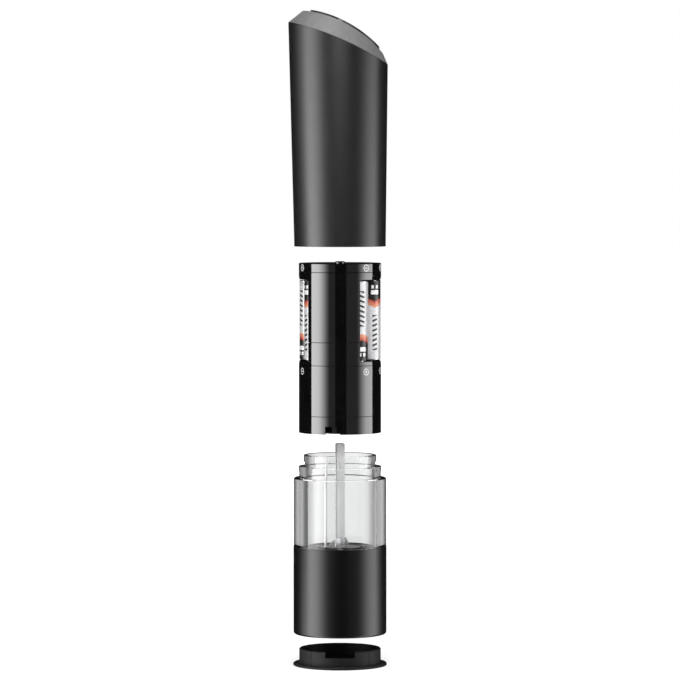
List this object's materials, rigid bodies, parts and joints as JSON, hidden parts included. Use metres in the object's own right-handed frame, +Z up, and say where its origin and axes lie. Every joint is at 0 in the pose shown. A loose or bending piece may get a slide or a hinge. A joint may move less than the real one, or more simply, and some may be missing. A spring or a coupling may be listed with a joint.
{
  "type": "battery pepper mill",
  "caption": "Battery pepper mill taken apart along its axis: base cap, grinder with clear hopper and square shaft, motor unit with cells, and flared top sleeve with a slanted push-button head.",
  "frame": {"origin": "centre of the base cap's underside, on the mill's axis", "axes": "+Z up along the axis, -Y towards the shown side, the head high at -X and low at +X"},
  "size_m": [0.0607, 0.0606, 0.4008],
  "materials": {
    "matt_black": "fine matt moulding",
    "gloss_black": "polished moulding",
    "clear_acrylic": "clear polished acrylic",
    "graphite": "satin graphite",
    "dark_plastic": "moulded",
    "button_black": "satin",
    "steel": "brushed",
    "bright_steel": "bright zinc",
    "ceramic": "unglazed technical ceramic",
    "gear_nylon": "natural nylon",
    "brass": "machined",
    "cell_jacket": "printed foil jacket with plain bands",
    "board": "solder-masked laminate",
    "white_print": "printed marks",
    "lead_red": "insulated wire"
  },
  "bodies": {
    "base": {"base_cap": "matt_black"},
    "grinder": {"lower_sleeve": "matt_black", "spice_hopper": "clear_acrylic", "shaft_guide": "dark_plastic", "grinder_housing": "dark_plastic", "burr_bridge": "dark_plastic", "bridge_screws": "bright_steel", "burr_ring": "ceramic", "rotor_spring": "bright_steel"},
    "dial": {"grind_dial": "dark_plastic"},
    "thrust": {"thrust_pin": "steel"},
    "rotor": {"drive_shaft": "steel", "burr_cone": "ceramic", "cone_clip": "bright_steel", "feeder": "bright_steel"},
    "power": {"coupling_skirt": "gloss_black", "skirt_screws": "bright_steel", "gear_plate": "dark_plastic", "output_bush": "brass", "motor_housing": "gloss_black", "gear_case": "gear_nylon", "motor": "steel", "motor_screws": "bright_steel", "cell_tray": "gloss_black", "cell_frame": "gloss_black", "top_cap": "gloss_black", "cap_screws": "bright_steel", "contact_plates": "bright_steel", "contact_springs": "bright_steel", "motor_leads": "lead_red", "switch_board": "board", "tact_switch": "dark_plastic", "cell_right_front": "cell_jacket", "cell_right_middle": "cell_jacket", "cell_right_rear": "cell_jacket", "cell_left_front": "cell_jacket", "cell_left_middle": "cell_jacket", "cell_left_rear": "cell_jacket"},
    "plunger": {"switch_plunger": "gloss_black"},
    "carrier": {"planet_carrier": "gear_nylon"},
    "motor_rotor": {"motor_shaft": "steel", "sun_gear": "brass"},
    "planet_1": {"planet_gear_1": "gear_nylon"},
    "planet_2": {"planet_gear_2": "gear_nylon"},
    "planet_3": {"planet_gear_3": "gear_nylon"},
    "sleeve": {"top_sleeve": "matt_black", "top_bezel": "graphite", "button_bracket": "dark_plastic", "bracket_screws": "bright_steel", "button_spring": "bright_steel"},
    "button": {"push_button": "button_black"}
  },
  "joints": [
    {"name": "base_pull", "type": "slide", "parent": "base", "child": "grinder", "axis": [0, 0, -1], "range_m": [0, 0.01775]},
    {"name": "dial_turn", "type": "hinge", "parent": "grinder", "child": "dial", "pos_m": [0, 0, 0.022], "axis": [0, 0, 1], "range_deg": [0, 270]},
    {"name": "burr_lift", "type": "slide", "parent": "grinder", "child": "thrust", "axis": [0, 0, -1], "range_m": [0, 0.0009], "deforming": ["rotor_spring"]},
    {"name": "shaft_spin", "type": "hinge", "parent": "thrust", "child": "rotor", "pos_m": [0, 0, 0.06], "axis": [0, 0, 1], "continuous": true},
    {"name": "power_pull", "type": "slide", "parent": "grinder", "child": "power", "axis": [0, 0, -1], "range_m": [0, 0.02065]},
    {"name": "output_spin", "type": "hinge", "parent": "power", "child": "carrier", "pos_m": [0, 0, 0.155], "axis": [0, 0, 1], "continuous": true},
    {"name": "motor_spin", "type": "hinge", "parent": "power", "child": "motor_rotor", "pos_m": [0, 0, 0.165], "axis": [0, 0, 1], "continuous": true},
    {"name": "planet_spin_1", "type": "hinge", "parent": "carrier", "child": "planet_1", "pos_m": [0.01062, -0.00199, 0.1586], "axis": [0, 0, 1], "continuous": true},
    {"name": "planet_spin_2", "type": "hinge", "parent": "carrier", "child": "planet_2", "pos_m": [-0.00359, 0.01019, 0.1586], "axis": [0, 0, 1], "continuous": true},
    {"name": "planet_spin_3", "type": "hinge", "parent": "carrier", "child": "planet_3", "pos_m": [-0.00703, -0.0082, 0.1586], "axis": [0, 0, 1], "continuous": true},
    {"name": "switch_press", "type": "slide", "parent": "power", "child": "plunger", "axis": [0, 0, -1], "range_m": [0, 0.0008]},
    {"name": "sleeve_pull", "type": "slide", "parent": "power", "child": "sleeve", "axis": [0, 0, -1], "range_m": [0, 0.12075]},
    {"name": "button_press", "type": "slide", "parent": "sleeve", "child": "button", "axis": [0, 0, -1], "range_m": [0, 0.0015], "stiffness_N_per_m": 500, "springref_m": -0.002, "deforming": ["button_spring"]}
  ],
  "couplings": [
    {"joint": "dial_turn", "follows": "burr_lift", "rad_per_m": 5235},
    {"joint": "shaft_spin", "follows": "output_spin", "ratio": 1},
    {"joint": "motor_spin", "follows": "output_spin", "ratio": 4.5},
    {"joint": "planet_spin_1", "follows": "output_spin", "ratio": -2.8},
    {"joint": "planet_spin_2", "follows": "output_spin", "ratio": -2.8},
    {"joint": "planet_spin_3", "follows": "output_spin", "ratio": -2.8},
    {"joint": "switch_press", "follows": "button_press", "ratio": 0.5}
  ]
}
